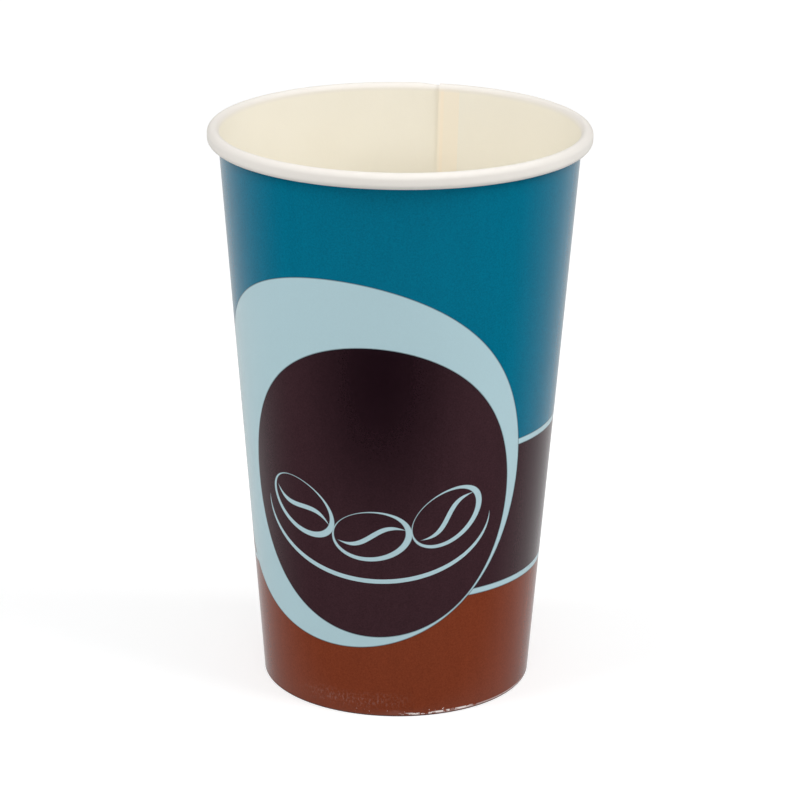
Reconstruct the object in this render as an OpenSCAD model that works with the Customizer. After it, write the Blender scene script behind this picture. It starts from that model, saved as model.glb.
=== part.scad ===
// Single-wall paper cup for hot drinks.
// The wall is one wrapped sheet. Its top edge is rolled outward into the rim, its straight
// edges lap at the back, and its lower edge is folded in and up round the base's skirt.
// The origin is the centre of the foot, +Z points up and the front faces -Y.

/* [Cup] */
// Height from the foot to the top of the rim
cup_h = 136; // [110:1:160]
// Diameter over the rolled rim
rim_d = 90; // [82:0.5:98]
// Diameter of the wall's outer face, carried straight down to the table
foot_d = 64.4; // [56:0.1:72]
// Thickness of the wall's board
board_t = 0.4; // [0.3:0.05:0.45]

/* [Rim roll] */
// Width of the roll
roll_w = 2.85; // [2.7:0.05:3.3]
// Height of the roll
roll_h = 3.8; // [3.5:0.05:4.5]
// Width of the curl that the sheet's edge makes inside the roll
curl_w = 1.7; // [1.3:0.05:1.8]
// Turn of that curl in degrees
curl_turn = 200; // [120:5:240]

/* [Side seam] */
// Place of the inner ply's raw edge, in degrees from +X towards the back
seam_at = 77.2; // [40:0.1:120]
// Turn of the lap in degrees
lap_turn = 7.2; // [5:0.1:12]
// Turn over which the outer ply rises onto the lap
ramp_turn = 7.8; // [7:0.1:12]

/* [Base] */
// Thickness of the base's board
base_t = 0.35; // [0.25:0.05:0.45]
// Height of the base's underside above the table
base_recess = 8.6; // [7.5:0.1:14]
// Outer radius of the bend between the base and its skirt
base_bend_r = 0.9; // [0.6:0.1:1.5]
// Height of the hem above the table
hem_h = 7; // [4:0.1:7.2]
// Gap between plies that are sealed together
seal_gap = 0.05; // [0.03:0.01:0.08]
// Depth that the foot's fold is pressed flat
foot_press = 0.1; // [0.05:0.01:0.15]

/* [Hidden] */
facets = 180;
bend_facets = 48;
wall_colour = [0, 0.41, 0.51];
base_colour = [0.93, 0.9, 0.83];
rim_r = rim_d / 2;
foot_r = foot_d / 2;
roll_r = roll_w / 2;
curl_r = curl_w / 2;
roll_bottom = cup_h - roll_h;
// Depth that a flat face lies under the bend that it runs into
bend_sink = 0.01;
// Centres of the roll's upper bend, lower bend and inner curl
roll_top_at = [rim_r - roll_r, cup_h - roll_r];
roll_low_at = [rim_r - roll_r, roll_bottom + roll_r];
curl_at = [rim_r - roll_r, roll_bottom + curl_r];
// The wall's outer face runs from the foot into the roll's inner face
roll_reach = roll_top_at - [foot_r, 0];
wall_lean = acos((roll_r - board_t - bend_sink) / norm(roll_reach)) - atan2(roll_reach.y, roll_reach.x);
wall_len = roll_reach.x * sin(wall_lean) + roll_reach.y * cos(wall_lean);
// The fold holds the base's skirt with a gap on each side
fold_r = board_t + base_t / 2 + seal_gap;
fold_y = (fold_r * (1 - sin(wall_lean)) - foot_press) / cos(wall_lean);
hem_y = (hem_h - 2 * fold_r * sin(wall_lean)) / cos(wall_lean);
// Depth in the first ply from which the second ply and its ramp are drawn
lap_root = board_t / 2;
// Turns that the second ply, and the start of its ramp, reach past the first ply's edge
lap_over = 0.6;
ramp_over = 0.3;
// Depth that a ramp lies under the faces that it joins
ramp_sink = 0.03;
// Depth that the hollow beside the first ply's edge is cut from
hollow_depth = 3 * board_t;
// The skirt's outer face, and the bend between it and the base's upper face
skirt_x = -board_t - seal_gap;
bend_x = skirt_x - base_bend_r;
bend_y = (base_recess + base_t + bend_sink - base_bend_r + bend_x * sin(wall_lean)) / cos(wall_lean);

// Turns a place in the wall's own frame, x away from the outer face and y up it, into the section's frame
function on_wall(x, y) = [
    foot_r + x * cos(wall_lean) + y * sin(wall_lean),
    y * cos(wall_lean) - x * sin(wall_lean)
];

// Point at a distance x from the wall's outer face, at a height z and a turn from +X
function wall_point(x, z, turn) =
    let (r = foot_r + x / cos(wall_lean) + z * tan(wall_lean))
    [r * cos(turn), r * sin(turn), z];

// Moves a drawing to the wall's own frame
module to_wall() {
    translate([foot_r, 0])
        rotate(-wall_lean)
            children();
}

// Section of the wall, the fold and the hem, from a depth d under the outer face to a height e over it.
// The hem stops at hem_end, above the foot.
module wall_section(d, e, hem_end) {
    intersection() {
        to_wall()
            difference() {
                union() {
                    translate([-fold_r, fold_y])
                        circle(fold_r + e, $fn = bend_facets);
                    translate([-2 * fold_r - e, fold_y])
                        square([2 * (fold_r + e), hem_end - fold_y]);
                    polygon([[-d, fold_y], [e, fold_y], [e, wall_len + d + e], [-d, wall_len]]);
                }
                translate([-fold_r, fold_y])
                    circle(fold_r - d, $fn = bend_facets);
                translate([-2 * fold_r + d, fold_y])
                    square([2 * (fold_r - d), hem_y]);
            }
        square([rim_d, cup_h]);
    }
}

// Two circles, one over the other, and the strip between them
module tall_circle(r) {
    translate(roll_top_at)
        circle(r, $fn = bend_facets);
    translate(roll_low_at)
        circle(r, $fn = bend_facets);
    translate([roll_low_at.x - r, roll_low_at.y])
        square([2 * r, roll_top_at.y - roll_low_at.y]);
}

// Section of the rolled rim, from the same depth d to the same height e, open where the wall runs into it
module roll_section(d, e) {
    difference() {
        tall_circle(roll_r - board_t + d);
        tall_circle(roll_r - board_t - e);
        polygon([
            roll_top_at,
            on_wall(e, wall_len),
            on_wall(-d, wall_len - d - e),
            on_wall(-d, 0),
            [roll_top_at.x, 0]
        ]);
    }
}

// Section of the sheet's edge where it curls up inside the roll
module curl_section() {
    translate(curl_at)
        difference() {
            circle(curl_r, $fn = bend_facets);
            circle(curl_r - board_t, $fn = bend_facets);
            polygon([
                [0, 0],
                [0, -curl_w],
                [curl_w, -curl_w],
                2 * curl_w * [cos(270 - curl_turn), sin(270 - curl_turn)]
            ]);
        }
}

// Wedge that falls from x_step, at a turn past the first ply's edge, to x_face at the ramp's end.
// It is filled from x_back outward.
module seam_wedge(x_face, x_step, x_back, turn, z_low, z_high) {
    corners = [[x_face, ramp_turn], [x_step, turn], [x_back, turn], [x_back, ramp_turn]];
    polyhedron(
        [
            for (z = [z_low, z_high], p = corners)
                wall_point(p.x - ramp_sink, z, seam_at + p.y)
        ],
        [
            [3, 2, 1, 0],
            [4, 5, 6, 7],
            [1, 5, 4, 0],
            [2, 6, 5, 1],
            [3, 7, 6, 2],
            [0, 4, 7, 3]
        ]
    );
}

// One turn of the sheet, its second ply along the lap, and the ramp that comes down from it.
// The hollow under that ramp is cut away inside the cup.
module sidewall() {
    color(wall_colour)
        difference() {
            union() {
                rotate_extrude($fn = facets) {
                    wall_section(board_t, 0, hem_y);
                    roll_section(board_t, 0);
                    curl_section();
                }
                rotate([0, 0, seam_at - lap_turn])
                    rotate_extrude(angle = lap_turn + lap_over, $fn = facets) {
                        wall_section(lap_root, board_t, hem_y - board_t);
                        roll_section(lap_root, board_t);
                    }
                seam_wedge(0, board_t, -lap_root, ramp_over, fold_r, roll_bottom);
            }
            seam_wedge(-board_t, 0, -hollow_depth, 0, base_recess + base_t, roll_bottom);
        }
}

// Section of the base's flat middle, with a slanted end inside the bend
module flat_section() {
    bend_r = on_wall(bend_x, bend_y).x;
    polygon([
        [0, base_recess],
        [bend_r + base_t, base_recess],
        [bend_r, base_recess + base_t],
        [0, base_recess + base_t]
    ]);
}

// Section of the base's bend and skirt
module skirt_section() {
    to_wall()
        difference() {
            union() {
                translate([bend_x, bend_y])
                    circle(base_bend_r, $fn = bend_facets);
                translate([bend_x, fold_y])
                    square([base_bend_r, bend_y - fold_y]);
            }
            translate([bend_x, bend_y])
                circle(base_bend_r - base_t, $fn = bend_facets);
            translate([bend_x, fold_y])
                square([base_bend_r - base_t, bend_y - fold_y]);
            translate([bend_x, bend_y])
                polygon([
                    [0, -base_bend_r],
                    [0, base_bend_r - base_t],
                    [-base_t, base_bend_r],
                    [-base_bend_r, base_bend_r],
                    [-base_bend_r, -base_bend_r]
                ]);
        }
}

module base_disc() {
    color(base_colour)
        rotate_extrude($fn = facets) {
            flat_section();
            skirt_section();
        }
}

sidewall();
base_disc();
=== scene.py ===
import math

import bpy
from mathutils import Matrix, Vector


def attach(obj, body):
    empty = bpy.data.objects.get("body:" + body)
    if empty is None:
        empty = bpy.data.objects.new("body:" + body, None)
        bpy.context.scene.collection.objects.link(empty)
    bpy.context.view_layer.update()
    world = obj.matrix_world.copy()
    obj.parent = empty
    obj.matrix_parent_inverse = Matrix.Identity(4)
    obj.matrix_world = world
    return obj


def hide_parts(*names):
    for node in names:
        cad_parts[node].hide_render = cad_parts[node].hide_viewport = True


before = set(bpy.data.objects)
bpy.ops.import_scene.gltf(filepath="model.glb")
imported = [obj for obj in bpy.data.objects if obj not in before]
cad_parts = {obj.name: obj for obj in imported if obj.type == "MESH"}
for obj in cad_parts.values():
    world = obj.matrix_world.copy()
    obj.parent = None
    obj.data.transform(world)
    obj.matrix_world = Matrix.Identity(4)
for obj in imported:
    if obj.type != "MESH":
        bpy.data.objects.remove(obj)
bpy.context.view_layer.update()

MM = 0.001

# Sizes of the cup in millimetres and degrees, as the part's source has them
CUP_H = 136.0
RIM_R = 45.0
FOOT_R = 32.2
BOARD = 0.4
ROLL_R = 1.425
ROLL_H = 3.8
CURL_R = 0.85
CURL_TURN = 200.0
SEAM_AT = 77.2
LAP_TURN = 7.2
RAMP_TURN = 7.8
FOLD_R = 0.625
FOOT_PRESS = 0.1
HEM_H = 7.0
ROLL_TOP = (RIM_R - ROLL_R, CUP_H - ROLL_R)
ROLL_LOW = (RIM_R - ROLL_R, CUP_H - ROLL_H + ROLL_R)
CURL_AT = (RIM_R - ROLL_R, CUP_H - ROLL_H + CURL_R)

# Rows of the sheet's mesh along each stretch of its section
HEM_ROWS = 5
FOLD_ROWS = 18
WALL_ROWS = 24
ROLL_TOP_ROWS = 30
ROLL_LOW_ROWS = 14
CURL_ROWS = 16
RAMP_COLUMNS = 12
# Turn in degrees between the two columns that stand at a raw edge
EDGE_TURN = 0.004
# Turn in degrees round a raw edge that is kept clear of the even columns
EDGE_CLEAR = 0.3
# Angle in degrees over which an edge of the mesh is shaded sharp
SHARP_ANGLE = 35

# Material slots of the sheet
PRINTED, COATED, RAW = 0, 1, 2


def wall_line():
    """Lean of the wall in radians and its length from the foot line to the roll."""
    dx = ROLL_TOP[0] - FOOT_R
    dy = ROLL_TOP[1]
    lean = math.acos((ROLL_R - BOARD) / math.hypot(dx, dy)) - math.atan2(dy, dx)
    return lean, dx * math.sin(lean) + dy * math.cos(lean)


LEAN, WALL_LEN = wall_line()
FOLD_Y = (FOLD_R * (1 - math.sin(LEAN)) - FOOT_PRESS) / math.cos(LEAN)
HEM_Y = (HEM_H - 2 * FOLD_R * math.sin(LEAN)) / math.cos(LEAN)
# Distance from the foot line to the apex that the flat blank's arcs share
APEX = FOOT_R / math.sin(LEAN)


def lean_over(x, y):
    """Turns a step along the wall's own axes, x out of its face and y up it, into radius and height."""
    return x * math.cos(LEAN) + y * math.sin(LEAN), y * math.cos(LEAN) - x * math.sin(LEAN)


def sheet_path():
    """The sheet's printed face from the hem's edge to the curl's: (r, z, normal r, normal z, way up)."""
    rows = []

    def add_wall_row(x, y, normal_x, normal_y, way):
        r, z = lean_over(x, y)
        rows.append((FOOT_R + r, z, *lean_over(normal_x, normal_y), way))

    def add_arc(centre, radius, start, end, count, way, first=0):
        for i in range(first, count + 1):
            a = start + (end - start) * i / count
            out = (math.cos(a), math.sin(a))
            walked = abs(end - start) * i / count * (radius + BOARD)
            r = centre[0] + radius * out[0]
            z = centre[1] + radius * out[1]
            rows.append((r, z, -out[0], -out[1], way + walked))

    fold_len = math.pi * FOLD_R
    for i in range(HEM_ROWS):
        y = HEM_Y + (FOLD_Y - HEM_Y) * i / HEM_ROWS
        add_wall_row(-2 * FOLD_R, y, -1, 0, 2 * FOLD_Y - fold_len - y)
    for i in range(FOLD_ROWS + 1):
        a = math.pi * (1 + i / FOLD_ROWS)
        x = FOLD_R * (math.cos(a) - 1)
        y = FOLD_Y + FOLD_R * math.sin(a)
        add_wall_row(x, y, math.cos(a), math.sin(a), FOLD_Y - fold_len * (1 - i / FOLD_ROWS))
    for i in range(1, WALL_ROWS):
        y = FOLD_Y + (WALL_LEN - FOLD_Y) * i / WALL_ROWS
        add_wall_row(0, y, 1, 0, y)
    add_arc(ROLL_TOP, ROLL_R - BOARD, math.pi - LEAN, 0, ROLL_TOP_ROWS, WALL_LEN)
    side_way = rows[-1][4] + ROLL_TOP[1] - ROLL_LOW[1]
    add_arc(ROLL_LOW, ROLL_R - BOARD, 0, -math.pi / 2, ROLL_LOW_ROWS, side_way)
    curl_end = -math.pi / 2 - math.radians(CURL_TURN)
    add_arc(CURL_AT, CURL_R - BOARD, -math.pi / 2, curl_end, CURL_ROWS, rows[-1][4], first=1)
    return rows


def seam_offsets(turn):
    """How far the printed face and the coated face stand out at a turn from +X, where the sheet laps."""
    if SEAM_AT - LAP_TURN <= turn < SEAM_AT:
        return BOARD, 0.0
    past = (turn - SEAM_AT) / RAMP_TURN
    if not 0 <= past <= 1:
        return 0.0, 0.0
    ramp = BOARD * (1 - past) ** 2 * (1 + 2 * past)
    return ramp, ramp


def columns():
    """Turns of the sheet's columns, one each degree, with two close together at each raw edge."""
    raw_edges = [SEAM_AT - LAP_TURN, SEAM_AT]
    pairs = [t for edge in raw_edges for t in (edge - EDGE_TURN, edge)]
    ramp = [SEAM_AT + RAMP_TURN * i / RAMP_COLUMNS for i in range(1, RAMP_COLUMNS)]
    even = [(SEAM_AT - LAP_TURN + i) % 360 for i in range(360)]
    apart = [t for t in even if all(abs(t - edge) > EDGE_CLEAR for edge in raw_edges)]
    return sorted(round(t, 4) for t in apart + pairs + ramp)


def blank_place(turn, way):
    """Place on the flat blank in millimetres, right of the front and up from the foot, and the turn.

    The outer ply starts at the lap's edge, so turns run on from there.
    """
    unrolled = turn if turn >= SEAM_AT - LAP_TURN else turn + 360
    a = math.radians(unrolled - 270) * math.sin(LEAN)
    return (APEX + way) * math.sin(a), (APEX + way) * math.cos(a) - APEX, unrolled


def column_points(path, turn):
    """One column's closed loop, up its printed face and back down its coated face, and its blank places."""
    printed_out, coated_out = seam_offsets(turn)
    along_x, along_y = math.cos(math.radians(turn)), math.sin(math.radians(turn))
    n = len(path)
    # The second ply thins away in the curl, where the solid has one ply
    thin = [min(1.0, (n - 1 - k) / CURL_ROWS) for k in range(n)]
    outward = [(k, printed_out * thin[k]) for k in range(n)]
    inward = [(k, coated_out * thin[k] - BOARD) for k in reversed(range(n))]
    points, places = [], []
    for k, offset in outward + inward:
        r, z, normal_r, normal_z, way = path[k]
        r += normal_r * offset
        z = max(z + normal_z * offset, 0.0)
        points.append((r * along_x * MM, r * along_y * MM, z * MM))
        places.append(blank_place(turn, way))
    return points, places


def make_sheet():
    """The one sheet: its columns are joined all the way round the cup."""
    path = sheet_path()
    turns = columns()
    verts, places = [], []
    for turn in turns:
        column, column_places = column_points(path, turn)
        verts += column
        places += column_places
    n = len(path)
    loop = 2 * n
    faces, slots = [], []
    for j, turn in enumerate(turns):
        across = (j + 1) % len(turns)
        raw = (turns[across] - turn) % 360 < 2 * EDGE_TURN
        for k in range(loop):
            up = (k + 1) % loop
            faces.append((j * loop + k, across * loop + k, across * loop + up, j * loop + up))
            edge = raw or k in (n - 1, loop - 1)
            slots.append(RAW if edge else PRINTED if k < n else COATED)
    mesh = bpy.data.meshes.new("sidewall_sheet")
    mesh.from_pydata(verts, [], faces)
    blank = mesh.attributes.new("blank", "FLOAT_VECTOR", "POINT")
    blank.data.foreach_set("vector", [v for place in places for v in place])
    mesh.polygons.foreach_set("material_index", slots)
    mesh.polygons.foreach_set("use_smooth", [slot != RAW for slot in slots])
    mesh.update()
    mesh.set_sharp_from_angle(angle=math.radians(SHARP_ANGLE))
    return mesh


class Graph:
    """Short names for the nodes of one material."""

    def __init__(self, name, roughness, specular=0.5):
        self.mat = bpy.data.materials.new(name)
        self.mat.use_nodes = True
        self.tree = self.mat.node_tree
        self.tree.nodes.clear()
        self.shader = self.node("ShaderNodeBsdfPrincipled")
        self.shader.inputs["Roughness"].default_value = roughness
        self.shader.inputs["Specular IOR Level"].default_value = specular
        out = self.node("ShaderNodeOutputMaterial")
        self.link(self.shader.outputs[0], out.inputs["Surface"])

    def node(self, kind, **props):
        n = self.tree.nodes.new(kind)
        for key, value in props.items():
            setattr(n, key, value)
        return n

    def link(self, a, b):
        self.tree.links.new(a, b)

    def put(self, value, socket):
        if isinstance(value, bpy.types.NodeSocket):
            self.link(value, socket)
        else:
            socket.default_value = value

    def math(self, op, a, b=0.0, clamp=False):
        n = self.node("ShaderNodeMath", operation=op, use_clamp=clamp)
        self.put(a, n.inputs[0])
        self.put(b, n.inputs[1])
        return n.outputs[0]

    def vmath(self, op, a, b=(0, 0, 0)):
        n = self.node("ShaderNodeVectorMath", operation=op)
        self.put(a, n.inputs[0])
        self.put(b, n.inputs[1])
        return n.outputs["Value"] if op == "LENGTH" else n.outputs[0]

    def split(self, vector):
        n = self.node("ShaderNodeSeparateXYZ")
        self.put(vector, n.inputs[0])
        return n.outputs[0], n.outputs[1], n.outputs[2]

    def join(self, x, y):
        n = self.node("ShaderNodeCombineXYZ")
        self.put(x, n.inputs[0])
        self.put(y, n.inputs[1])
        return n.outputs[0]

    def ramp(self, value, start, end, low=0.0, high=1.0, **props):
        """Goes from low to high while the value goes from start to end."""
        n = self.node("ShaderNodeMapRange", clamp=True, **props)
        self.put(value, n.inputs["Value"])
        n.inputs["From Min"].default_value = start
        n.inputs["From Max"].default_value = end
        n.inputs["To Min"].default_value = low
        n.inputs["To Max"].default_value = high
        return n.outputs[0]

    def over(self, value, edge, soft):
        """1 where the value is over the edge and 0 under it, with a soft step between."""
        return self.ramp(value, edge - soft / 2, edge + soft / 2)

    def under(self, value, edge, soft):
        return self.math("SUBTRACT", 1.0, self.over(value, edge, soft))

    def within(self, value, low, high, soft):
        return self.math("MULTIPLY", self.over(value, low, soft), self.under(value, high, soft))

    def all_of(self, *masks):
        result = masks[0]
        for mask in masks[1:]:
            result = self.math("MULTIPLY", result, mask)
        return result

    def any_of(self, *masks):
        result = masks[0]
        for mask in masks[1:]:
            result = self.math("MAXIMUM", result, mask)
        return result

    def mix(self, factor, a, b):
        n = self.node("ShaderNodeMix", data_type="RGBA")
        self.put(factor, n.inputs[0])
        self.put(a, n.inputs[6])
        self.put(b, n.inputs[7])
        return n.outputs[2]

    def noise(self, vector, scale, detail, rough=0.5):
        n = self.node("ShaderNodeTexNoise")
        self.put(vector, n.inputs["Vector"])
        n.inputs["Scale"].default_value = scale
        n.inputs["Detail"].default_value = detail
        n.inputs["Roughness"].default_value = rough
        return n.outputs[0]

    def flat_noise(self, flat, grain, detail, rough=0.5):
        """Noise on the flat blank, with a grain of its own across it and up it, per millimetre."""
        return self.noise(self.vmath("MULTIPLY", flat, (*grain, 1)), 1.0, detail, rough)

    def ellipse(self, flat, centre, half, tilt=0.0):
        """Place in an ellipse's own frame, where its edge is the unit circle."""
        n = self.node("ShaderNodeMapping", vector_type="TEXTURE")
        n.inputs["Location"].default_value = (*centre, 0)
        n.inputs["Rotation"].default_value = (0, 0, math.radians(tilt))
        n.inputs["Scale"].default_value = (*half, 1)
        self.put(flat, n.inputs["Vector"])
        return n.outputs[0]

    def beyond(self, flat, centre, half, tilt=0.0):
        """Distance outside an ellipse's edge in millimetres, true near the edge if it is nearly round."""
        out = self.math("SUBTRACT", self.vmath("LENGTH", self.ellipse(flat, centre, half, tilt)), 1.0)
        return self.math("MULTIPLY", out, (half[0] + half[1]) / 2)

    def bump(self, height, distance):
        n = self.node("ShaderNodeBump")
        n.inputs["Distance"].default_value = distance
        self.put(height, n.inputs["Height"])
        self.link(n.outputs[0], self.shader.inputs["Normal"])

    def glow(self, strength):
        self.shader.inputs["Emission Color"].default_value = WHITE
        self.put(strength, self.shader.inputs["Emission Strength"])

    def blank(self):
        """Place on the flat blank in millimetres, the way up it from the foot line, and the turn."""
        place = self.node("ShaderNodeAttribute", attribute_name="blank").outputs["Vector"]
        x, y, turn = self.split(place)
        flat = self.join(x, y)
        from_apex = self.vmath("LENGTH", self.vmath("ADD", flat, (0, APEX, 0)))
        return flat, x, self.math("SUBTRACT", from_apex, APEX), turn

    def object_mm(self):
        coords = self.node("ShaderNodeTexCoord").outputs["Object"]
        return self.vmath("MULTIPLY", coords, (1 / MM, 1 / MM, 1 / MM))


def srgb(r, g, b):
    """A colour written as it is seen, 0 to 255, as the shader needs it."""
    out = []
    for v in (r / 255, g / 255, b / 255):
        out.append(v / 12.92 if v <= 0.04045 else ((v + 0.055) / 1.055) ** 2.4)
    return (*out, 1.0)


TEAL = srgb(0, 119, 150)
PALE = srgb(195, 226, 234)
BROWN = srgb(66, 43, 49)
BROWN_DEEP = srgb(33, 17, 24)
RUST = srgb(135, 63, 39)
TRAP = srgb(22, 40, 52)
CREAM = srgb(250, 245, 231)
CREAM_DEEP = srgb(247, 241, 225)
LAP = srgb(255, 241, 218)
ROLL = srgb(241, 236, 229)
EDGE = srgb(236, 226, 206)
EDGE_DEEP = srgb(205, 188, 160)
BARE = srgb(255, 245, 241)
# Colour of the painted shade along the fold at the foot
FOLD_PAINTED_SHADE = srgb(40, 20, 20)
BLACK = (0, 0, 0, 1)
WHITE = (1, 1, 1, 1)

# The print's fields on the blank, in millimetres right of the front and up from the foot, and degrees
DISC = {"centre": (-14.5, 63.6), "half": (46.3, 46.0), "tilt": -14.0}
OVAL = {"centre": (-6.0, 57.5), "half": (34.2, 36.5), "tilt": 0.9}
# Where the oval's brown is made darker, towards its upper middle
OVAL_DEEP = {"centre": (-4.0, 88.0), "half": (25.0, 50.0)}
# The belt: its middle, half its width, and the width of the pale line above it and below it
BELT_MIDDLE = 49.125
BELT_HALF = 17.125
BELT_LINE = 1.5
# Softness of an ink's edge
INK_SOFT = 0.12
# The dark line where two inks overlap: half its width, and how far it hides them
TRAP_HALF = 0.16
TRAP_SHARE = 0.45

# Unevenness of the ink: its mean level, its strength, and the grain of its specks and of its streaks
INK_LEVEL = 0.9
INK_UNEVEN = 0.85
INK_GRAIN = 2.6
STREAK_GRAIN = (0.3, 0.04)
STREAK_SHARE = 0.2

# Three beans in a row over a curved line, each as centre and tilt
BEANS = (((-24.0, 51.5), -27.0), ((-6.0, 47.0), 8.0), ((12.0, 51.5), 35.0))
BEAN_HALF = (9.6, 6.3)
# Lines of a bean in its own frame, where its edge is the unit circle
BEAN_HEART_AT = (-0.05, 0.065, 0)
BEAN_HEART = 0.9
GROOVE_BEND = 0.26
GROOVE_WIDTH = 0.14
GROOVE_REACH_SQUARED = 0.74
CRADLE = {"centre": (-6.0, 50.5), "half": (29.0, 15.5)}
CRADLE_WIDTH = 1.1

# Patches of wear at the foot. Each has the noise level it starts at, its stretch up the wall and its
# stretch right of the front in millimetres, each with its softness last.
CRACK = {"level": (0.485, 0.03), "up": (0.5, 1.0, 0.15), "across": (2.5, 19.0, 4.0)}
THIN = {"level": (0.4, 0.08), "up": (0.45, 0.75, 0.2), "across": (14.0, 41.0, 6.0)}
CHIPS = {"level": (0.68, 0.05), "up": (0.2, 1.8, 0.6), "across": (-9.0, 14.0, 5.0)}
RUB = {"level": (0.56, 0.14), "up": (2.4, 5.6, 2.0), "across": (-22.0, 1.0, 8.0)}
# Grain of the patches' noise across the blank and up it
CRACK_GRAIN = (0.32, 0.7)
CHIP_GRAIN = (1.1, 1.1)
RUB_GRAIN = (2.0, 1.1)
WEAR_ROUGH = 0.65
# How far the fainter patches hide the ink
THIN_SHARE = 0.5
RUB_SHARE = 0.06
# Painted shade along the fold, a dark line where the sheet turns under the cup: how far up it reaches, its
# softness, and how far it hides the ink
FOLD_SHADE_LINE = (0.35, 0.25)
FOLD_SHADE_SHARE = 0.7

# Height of the ink's grain and of the coating's, in millimetres
INK_BUMP = 0.012
COAT_BUMP = 0.02
# Grain per millimetre of the coating, of the board's colour and of its raw edge
COAT_GRAIN = 1.6
CLOUD_GRAIN = 0.09
EDGE_GRAIN = 4.0

# The lap seen inside: a pale strip over it, and a line between two turns in degrees before the raw edge
STRIP_SOFT = 0.3
STRIP_SHARE = 0.5
LAP_LINE = (2.2, 0.3)
LAP_LINE_SOFT = 1.2
LAP_LINE_SHARE = 0.85
# Softness of the change from the inside's colour to the roll's, in millimetres
ROLL_SOFT = 1.2


def bean(g, flat, centre, tilt):
    """Line drawing of a bean, thicker on one side, with a line along it that bends both ways."""
    place = g.ellipse(flat, centre, BEAN_HALF, tilt)
    soft = INK_SOFT / BEAN_HALF[1]
    rim = g.under(g.vmath("LENGTH", place), 1.0, soft)
    heart = g.under(g.vmath("LENGTH", g.vmath("SUBTRACT", place, BEAN_HEART_AT)), BEAN_HEART, soft)
    x, y, _ = g.split(place)
    bend = g.math("MULTIPLY", g.math("SINE", g.math("MULTIPLY", x, math.pi)), GROOVE_BEND)
    narrowing = g.math("SUBTRACT", GROOVE_REACH_SQUARED, g.math("MULTIPLY", x, x))
    width = g.math("MULTIPLY", narrowing, GROOVE_WIDTH)
    off = g.math("SUBTRACT", g.math("ABSOLUTE", g.math("SUBTRACT", y, bend)), width)
    groove = g.under(off, 0.0, soft)
    return g.math("MAXIMUM", g.math("SUBTRACT", rim, heart, clamp=True), groove)


def ornament(g, flat):
    beans = [bean(g, flat, centre, tilt) for centre, tilt in BEANS]
    x, y = CRADLE["centre"]
    outer = g.under(g.beyond(flat, (x, y), CRADLE["half"]), 0.0, INK_SOFT)
    inner = g.under(g.beyond(flat, (x, y + CRADLE_WIDTH), CRADLE["half"]), 0.0, INK_SOFT)
    return g.any_of(*beans, g.math("SUBTRACT", outer, inner, clamp=True))


def trapped(g, colour, distance, inside):
    """Lays one ink inside an edge, with a thin dark line where the two inks overlap."""
    colour = g.mix(g.under(distance, 0.0, INK_SOFT), colour, inside)
    line = g.under(g.math("ABSOLUTE", distance), TRAP_HALF, INK_SOFT)
    return g.mix(g.math("MULTIPLY", line, TRAP_SHARE), colour, TRAP)


def print_fields(g, flat, way):
    """Teal over a brown belt over rust, with a pale disc and a brown oval in front."""
    belt = g.math("SUBTRACT", g.math("ABSOLUTE", g.math("SUBTRACT", way, BELT_MIDDLE)), BELT_HALF)
    colour = g.mix(g.over(way, BELT_MIDDLE, INK_SOFT), RUST, TEAL)
    colour = trapped(g, colour, g.math("SUBTRACT", belt, BELT_LINE), PALE)
    colour = trapped(g, colour, belt, BROWN)
    colour = trapped(g, colour, g.beyond(flat, **DISC), PALE)
    off = g.vmath("LENGTH", g.ellipse(flat, **OVAL_DEEP))
    # Squared, so that the deep brown is smooth in its middle and at its edge
    near = g.math("SUBTRACT", 1.0, g.math("MULTIPLY", off, off), clamp=True)
    deep = g.math("MULTIPLY", near, near)
    colour = trapped(g, colour, g.beyond(flat, **OVAL), g.mix(deep, BROWN, BROWN_DEEP))
    return g.mix(ornament(g, flat), colour, PALE)


def patch(g, noise, x, way, level, up, across):
    """A patch of wear: the noise over its level, within a stretch up the wall and one across it."""
    return g.all_of(g.over(noise, *level), g.within(way, *up), g.within(x, *across))


def foot_wear(g, flat, x, way):
    """Cracked ink along the fold to the right of the front, and faintly rubbed ink over it to the left."""
    strokes = g.flat_noise(flat, CRACK_GRAIN, 4, WEAR_ROUGH)
    crack = patch(g, strokes, x, way, **CRACK)
    thin = g.math("MULTIPLY", patch(g, strokes, x, way, **THIN), THIN_SHARE)
    chips = patch(g, g.flat_noise(flat, CHIP_GRAIN, 3, WEAR_ROUGH), x, way, **CHIPS)
    rubbed = patch(g, g.flat_noise(flat, RUB_GRAIN, 4, WEAR_ROUGH), x, way, **RUB)
    return g.any_of(crack, thin, chips, g.math("MULTIPLY", rubbed, RUB_SHARE))


def grained(g, flat, colour):
    """Fine grain and faint streaks in the ink, stronger where the ink is darker."""
    level = g.node("ShaderNodeRGBToBW")
    g.put(colour, level.inputs[0])
    dark = g.math("SUBTRACT", 1.0, level.outputs[0])
    # Noise lies round 0.5, so half is taken off to leave the mean level alone
    grain = g.math("SUBTRACT", g.noise(g.object_mm(), INK_GRAIN, 3, 0.6), 0.5)
    streaks = g.math("SUBTRACT", g.flat_noise(flat, STREAK_GRAIN, 3), 0.5)
    uneven = g.math("ADD", grain, g.math("MULTIPLY", streaks, STREAK_SHARE))
    amount = g.math("MULTIPLY", g.math("MULTIPLY", dark, dark), INK_UNEVEN)
    gain = g.math("ADD", g.math("MULTIPLY", amount, uneven), INK_LEVEL)
    return g.vmath("MULTIPLY", colour, gain), grain


def printed():
    g = Graph("printed_board", roughness=0.12)
    flat, x, way, _ = g.blank()
    colour, grain = grained(g, flat, print_fields(g, flat, way))
    # Painted shade: a dark line along the fold, where the sheet turns under the cup
    colour = g.mix(g.math("MULTIPLY", g.under(way, *FOLD_SHADE_LINE), FOLD_SHADE_SHARE), colour, FOLD_PAINTED_SHADE)
    colour = g.mix(foot_wear(g, flat, x, way), colour, BARE)
    g.put(colour, g.shader.inputs["Base Color"])
    g.bump(grain, INK_BUMP * MM)
    return g.mat


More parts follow.
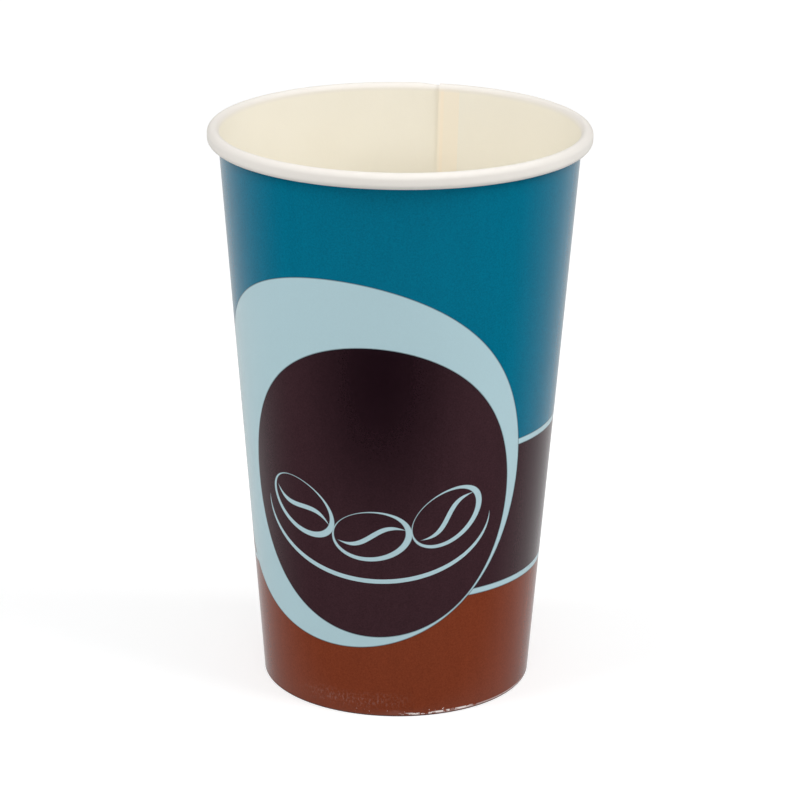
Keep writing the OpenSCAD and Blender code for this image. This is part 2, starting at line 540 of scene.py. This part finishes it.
def bare_board(name):
    """Smooth coated board without print, as its graph and its colour."""
    g = Graph(name, roughness=0.45)
    g.bump(g.noise(g.object_mm(), COAT_GRAIN, 3), COAT_BUMP * MM)
    return g, g.mix(g.noise(g.object_mm(), CLOUD_GRAIN, 4), CREAM_DEEP, CREAM)


def coated():
    g, colour = bare_board("coated_board")
    _, _, way, turn = g.blank()
    past = g.math("MODULO", turn, 360)
    strip = g.math("MULTIPLY", g.within(past, SEAM_AT - LAP_TURN, SEAM_AT, STRIP_SOFT), STRIP_SHARE)
    line = g.within(past, SEAM_AT - LAP_LINE[0], SEAM_AT - LAP_LINE[1], LAP_LINE_SOFT)
    line = g.math("MULTIPLY", line, LAP_LINE_SHARE)
    colour = g.mix(g.math("MAXIMUM", strip, line), colour, LAP)
    colour = g.mix(g.over(way, WALL_LEN, ROLL_SOFT), colour, ROLL)
    g.put(colour, g.shader.inputs["Base Color"])
    return g.mat


def base_board():
    g, colour = bare_board("base_board")
    g.put(colour, g.shader.inputs["Base Color"])
    return g.mat


def raw_edge():
    g = Graph("raw_edge", roughness=0.8)
    g.put(g.mix(g.noise(g.object_mm(), EDGE_GRAIN, 3), EDGE_DEEP, EDGE), g.shader.inputs["Base Color"])
    return g.mat


def add_sheet():
    sheet = bpy.data.objects.new("sidewall_sheet", make_sheet())
    bpy.context.scene.collection.objects.link(sheet)
    for material in (printed(), coated(), raw_edge()):
        sheet.data.materials.append(material)
    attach(sheet, "root")
    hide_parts("sidewall")


def dress_base():
    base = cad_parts["base_disc"]
    base.data.materials.clear()
    base.data.materials.append(base_board())


# The floor's own grey, and the glow that makes it look white: near the cup, and far from it, where
# the lamps light it less
FLOOR_GREY = 0.6
FLOOR_GLOW = 0.56
FLOOR_GLOW_FAR = 0.95
# Distances from the cup, in metres, between which the glow rises
FLOOR_NEAR = 0.5
FLOOR_FAR = 2.0
# Half a side of the floor and of the gloss card, in metres
FLOOR_HALF = 6
CARD_HALF = 3
# Strength of the world's even light on the cup
WORLD_FILL = 0.3
# Where the gloss card turns from dark to pale, in metres and degrees from the cup's side to its back
CARD_MIDDLE = -0.034
CARD_GRADE = (-10.0, 60.0)
# Strength of the card's pale end
CARD_GLOW = 0.65
# Height of the card over the floor in metres
CARD_LIFT = 0.0006
# Softboxes: place and size in metres, and power in watts
SOFTBOXES = {
    "softbox_left": ((-1.0, -0.36, 1.0), (0.8, 0.8), 9),
    "softbox_right": ((1.0, -0.36, 1.0), (0.8, 0.8), 10.8),
    "softbox_front": ((0, -1.3, 0.6), (1.0, 0.5), 3.6),
    "softbox_top": ((0, -0.1, 1.3), (1.0, 1.0), 1.5),
}
# Point near the cup's middle that the softboxes face
LIGHT_AIM = (0, 0, 0.07)


def add_square(name, half, z, material):
    corners = [(-half, -half, z), (half, -half, z), (half, half, z), (-half, half, z)]
    mesh = bpy.data.meshes.new(name)
    mesh.from_pydata(corners, [], [(0, 1, 2, 3)])
    mesh.materials.append(material)
    square = bpy.data.objects.new(name, mesh)
    bpy.context.scene.collection.objects.link(square)
    return square


def add_floor():
    """A grey floor that keeps the cup's shadow and is seen white, with more glow where it is lit less."""
    g = Graph("floor", roughness=0.9, specular=0.1)
    g.shader.inputs["Base Color"].default_value = (FLOOR_GREY, FLOOR_GREY, FLOOR_GREY, 1)
    ray = g.node("ShaderNodeLightPath")
    seen = g.math("MAXIMUM", ray.outputs["Is Camera Ray"], ray.outputs["Is Transmission Ray"])
    distance = g.vmath("LENGTH", g.node("ShaderNodeTexCoord").outputs["Object"])
    g.glow(g.math("MULTIPLY", seen, g.ramp(distance, FLOOR_NEAR, FLOOR_FAR, FLOOR_GLOW, FLOOR_GLOW_FAR)))
    add_square("floor", FLOOR_HALF, 0, g.mat)


def add_gloss_card():
    """A card on the floor that only gloss picks up: dark in front of the cup, pale beside and behind it."""
    g = Graph("gloss_card", roughness=1.0, specular=0.0)
    g.shader.inputs["Base Color"].default_value = BLACK
    x, y, _ = g.split(g.node("ShaderNodeTexCoord").outputs["Object"])
    turn = g.math("ARCTAN2", g.math("SUBTRACT", y, CARD_MIDDLE), g.math("ABSOLUTE", x))
    start, end = math.radians(CARD_GRADE[0]), math.radians(CARD_GRADE[1])
    g.glow(g.ramp(turn, start, end, 0.0, CARD_GLOW, interpolation_type="SMOOTHSTEP"))
    card = add_square("gloss_card", CARD_HALF, CARD_LIFT, g.mat)
    for ray in ("camera", "diffuse", "transmission", "volume_scatter", "shadow"):
        setattr(card, "visible_" + ray, False)


def add_world():
    """An even light that the camera sees as white beyond the floor's edge."""
    world = bpy.data.worlds.new("studio")
    world.use_nodes = True
    nodes = world.node_tree.nodes
    links = world.node_tree.links
    nodes.clear()
    out = nodes.new("ShaderNodeOutputWorld")
    back = nodes.new("ShaderNodeBackground")
    back.inputs["Color"].default_value = WHITE
    ray = nodes.new("ShaderNodeLightPath")
    strength = nodes.new("ShaderNodeMapRange")
    strength.inputs["To Min"].default_value = WORLD_FILL
    links.new(ray.outputs["Is Camera Ray"], strength.inputs["Value"])
    links.new(strength.outputs[0], back.inputs["Strength"])
    links.new(back.outputs[0], out.inputs["Surface"])
    bpy.context.scene.world = world


def add_softbox(name, place, size, power):
    light = bpy.data.lights.new(name, "AREA")
    light.shape = "RECTANGLE"
    light.size, light.size_y = size
    light.energy = power
    box = bpy.data.objects.new(name, light)
    bpy.context.scene.collection.objects.link(box)
    box.location = place
    box.visible_glossy = False
    box.rotation_mode = "QUATERNION"
    box.rotation_quaternion = (Vector(LIGHT_AIM) - Vector(place)).to_track_quat("-Z", "Y")


# The camera's place in the frame, in millimetres and degrees
CAMERA_RISE = 18.8672
CAMERA_ROLL = 0.4572
CAMERA_FAR = 772.3196
CAMERA_AIM = (0.4599, 0.0, 68.3419)
# Focal length in widths of the picture
CAMERA_FOCAL = 4.02914
# Nearest and farthest distance that the camera sees, in metres
CAMERA_CLIP = (0.05, 20)


def add_camera():
    rise = math.radians(CAMERA_RISE)
    forward = Vector((0, math.cos(rise), -math.sin(rise)))
    right = Matrix.Rotation(math.radians(CAMERA_ROLL), 3, -forward) @ Vector((1, 0, 0))
    up = right.cross(forward)
    data = bpy.data.cameras.new("camera")
    data.lens = CAMERA_FOCAL * data.sensor_width
    data.clip_start, data.clip_end = CAMERA_CLIP
    camera = bpy.data.objects.new("camera", data)
    bpy.context.scene.collection.objects.link(camera)
    place = Matrix((right, up, -forward)).transposed().to_4x4()
    place.translation = (Vector(CAMERA_AIM) - CAMERA_FAR * forward) * MM
    camera.matrix_world = place
    bpy.context.scene.camera = camera


add_sheet()
dress_base()
add_floor()
add_gloss_card()
add_world()
for softbox, (place, size, power) in SOFTBOXES.items():
    add_softbox(softbox, place, size, power)
add_camera()
bpy.context.scene.view_settings.view_transform = "Standard"
